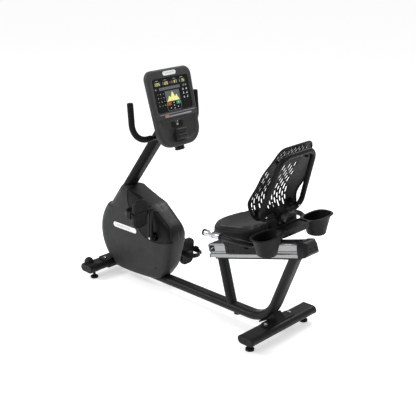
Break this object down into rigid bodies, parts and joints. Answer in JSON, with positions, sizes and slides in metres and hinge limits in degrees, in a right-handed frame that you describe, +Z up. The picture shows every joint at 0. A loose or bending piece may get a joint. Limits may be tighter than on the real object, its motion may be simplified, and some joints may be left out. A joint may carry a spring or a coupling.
{
  "type": "recumbent exercise bike",
  "caption": "Step-through recumbent exercise bike with an enclosed belt drive, leaning console mast, sliding seat on a sloping rail, contoured backrest and side grips.",
  "frame": {"origin": "centre of the bounding box footprint, on the floor", "axes": "+X towards the rear (the rider faces -X), +Y towards the rider's right, +Z up; centre plane at Y = 0"},
  "size_m": [1.5568, 0.594, 1.2959],
  "materials": {
    "main_frame": "satin powder coat",
    "front_seat_post": "satin powder coat",
    "stabiliser_brackets": "satin powder coat",
    "rear_stabiliser": "satin powder coat",
    "front_stabiliser": "satin powder coat",
    "stabiliser_caps": "matte moulded plastic",
    "stabiliser_bolts": "bright plated",
    "levelling_feet": "matte rubber",
    "transport_wheel_left": "matte moulded plastic",
    "transport_wheel_right": "matte moulded plastic",
    "drive_frame": "powder coat",
    "console_mast": "satin powder coat",
    "handlebar_clamp": "satin powder coat",
    "handlebar": "satin powder coat",
    "handlebar_grips": "matte foam rubber",
    "shroud_left": "satin moulded plastic",
    "shroud_right": "satin moulded plastic",
    "shroud_top_cover": "semi-gloss moulded plastic",
    "side_inserts": "fine textured plastic",
    "badges": "smooth light plate",
    "shroud_screws": "black oxide",
    "crank_axle": "turned steel",
    "crank_bearings": "ground steel",
    "drive_pulley": "glass-filled plastic",
    "drive_belt": "rubber",
    "flywheel": "turned rim",
    "flywheel_axle": "turned steel",
    "belt_idler": "smooth plastic",
    "crank_arm_left": "black paint",
    "crank_arm_right": "black paint",
    "crank_bolts": "bright plated",
    "pedal_spindles": "bright plated",
    "pedal_left": "ribbed moulded plastic",
    "pedal_right": "ribbed moulded plastic",
    "pedal_strap_left": "flexible strap rubber",
    "pedal_strap_right": "flexible strap rubber",
    "seat_rail": "anodised extrusion",
    "rail_track": "ribbed plastic",
    "rail_end_caps": "satin moulded plastic",
    "rail_under_plate": "black paint",
    "carriage": "satin powder coat",
    "carriage_glides": "acetal",
    "seat_lock_lever": "black paint with a plastic grip",
    "brake_shoe": "brake rubber",
    "seat_pan": "textured moulded plastic",
    "seat_cushion": "matte vinyl with a fine grain",
    "seat_handle": "satin powder coat",
    "grip_sleeves": "brushed contact plates",
    "grip_collars": "moulded plastic",
    "grip_leads": "cable sheath",
    "back_bar": "satin powder coat",
    "back_frame": "satin powder coat",
    "back_bracket": "satin powder coat",
    "back_shell": "fine textured plastic",
    "cup_tray": "fine textured plastic",
    "console_back": "satin moulded plastic",
    "console_bezel": "satin moulded plastic",
    "console_overlay": "printed film and display window",
    "console_paddle": "satin moulded plastic",
    "console_button": "smooth plastic"
  },
  "bodies": {
    "base": {"main_frame": "main_frame", "front_seat_post": "front_seat_post", "stabiliser_brackets": "stabiliser_brackets", "rear_stabiliser": "rear_stabiliser", "front_stabiliser": "front_stabiliser", "stabiliser_caps": "stabiliser_caps", "stabiliser_bolts": "stabiliser_bolts", "levelling_feet": "levelling_feet", "drive_frame": "drive_frame", "console_mast": "console_mast", "handlebar_clamp": "handlebar_clamp", "handlebar": "handlebar", "handlebar_grips": "handlebar_grips", "shroud_left": "shroud_left", "shroud_right": "shroud_right", "shroud_top_cover": "shroud_top_cover", "side_inserts": "side_inserts", "badges": "badges", "shroud_screws": "shroud_screws", "crank_bearings": "crank_bearings", "drive_belt": "drive_belt", "seat_rail": "seat_rail", "rail_track": "rail_track", "rail_end_caps": "rail_end_caps", "rail_under_plate": "rail_under_plate", "console_back": "console_back", "console_bezel": "console_bezel", "console_overlay": "console_overlay"},
    "crank": {"crank_axle": "crank_axle", "drive_pulley": "drive_pulley", "crank_arm_left": "crank_arm_left", "crank_arm_right": "crank_arm_right", "crank_bolts": "crank_bolts", "pedal_spindles": "pedal_spindles"},
    "pedal_left_body": {"pedal_left": "pedal_left", "pedal_strap_left": "pedal_strap_left"},
    "pedal_right_body": {"pedal_right": "pedal_right", "pedal_strap_right": "pedal_strap_right"},
    "flywheel_body": {"flywheel": "flywheel", "flywheel_axle": "flywheel_axle"},
    "idler_body": {"belt_idler": "belt_idler"},
    "wheel_left_body": {"transport_wheel_left": "transport_wheel_left"},
    "wheel_right_body": {"transport_wheel_right": "transport_wheel_right"},
    "seat_body": {"carriage": "carriage", "carriage_glides": "carriage_glides", "seat_pan": "seat_pan", "seat_cushion": "seat_cushion", "seat_handle": "seat_handle", "grip_sleeves": "grip_sleeves", "grip_collars": "grip_collars", "grip_leads": "grip_leads", "back_bar": "back_bar", "back_frame": "back_frame", "back_bracket": "back_bracket", "back_shell": "back_shell", "cup_tray": "cup_tray"},
    "lever_body": {"seat_lock_lever": "seat_lock_lever"},
    "shoe_body": {"brake_shoe": "brake_shoe"},
    "paddle_body": {"console_paddle": "console_paddle"},
    "button_body": {"console_button": "console_button"}
  },
  "joints": [
    {"name": "crank_spin", "type": "hinge", "parent": "base", "child": "crank", "pos_m": [-0.27, 0, 0.343], "axis": [0, 1, 0], "continuous": true},
    {"name": "pedal_left_spin", "type": "hinge", "parent": "crank", "child": "pedal_left_body", "pos_m": [-0.26199, -0.19, 0.51281], "axis": [0, 1, 0], "continuous": true},
    {"name": "pedal_right_spin", "type": "hinge", "parent": "crank", "child": "pedal_right_body", "pos_m": [-0.27801, 0.19, 0.17319], "axis": [0, 1, 0], "continuous": true},
    {"name": "flywheel_spin", "type": "hinge", "parent": "base", "child": "flywheel_body", "pos_m": [-0.54, 0, 0.262], "axis": [0, 1, 0], "continuous": true},
    {"name": "idler_spin", "type": "hinge", "parent": "base", "child": "idler_body", "pos_m": [-0.439, 0.05, 0.22655], "axis": [0, 1, 0], "continuous": true},
    {"name": "wheel_left_spin", "type": "hinge", "parent": "base", "child": "wheel_left_body", "pos_m": [-0.727, -0.191, 0.09], "axis": [0, 1, 0], "continuous": true},
    {"name": "wheel_right_spin", "type": "hinge", "parent": "base", "child": "wheel_right_body", "pos_m": [-0.727, 0.191, 0.09], "axis": [0, 1, 0], "continuous": true},
    {"name": "seat_slide", "type": "slide", "parent": "base", "child": "seat_body", "axis": [0.9627, 0, 0.2706], "range_m": [-0.11, 0.15]},
    {"name": "seat_lever", "type": "hinge", "parent": "seat_body", "child": "lever_body", "pos_m": [0.398, 0.064, 0.455], "axis": [0, 1, 0], "range_deg": [-25, 0], "stiffness_Nm_per_rad": 3, "springref_deg": 11.46},
    {"name": "brake_slide", "type": "slide", "parent": "seat_body", "child": "shoe_body", "axis": [0, 1, 0], "range_m": [0, 0.003]},
    {"name": "paddle_tilt", "type": "hinge", "parent": "base", "child": "paddle_body", "pos_m": [-0.12538, 0, 0.95736], "axis": [0, 1, 0], "range_deg": [-6, 6], "stiffness_Nm_per_rad": 3},
    {"name": "button_press", "type": "slide", "parent": "base", "child": "button_body", "axis": [-0.9659, 0, -0.2588], "range_m": [0, 0.0012], "stiffness_N_per_m": 400, "springref_m": -0.001}
  ],
  "couplings": [
    {"joint": "flywheel_spin", "follows": "crank_spin", "ratio": 4.9412},
    {"joint": "idler_spin", "follows": "crank_spin", "ratio": -4.35},
    {"joint": "brake_slide", "follows": "seat_lever", "m_per_rad": -0.0068755}
  ]
}
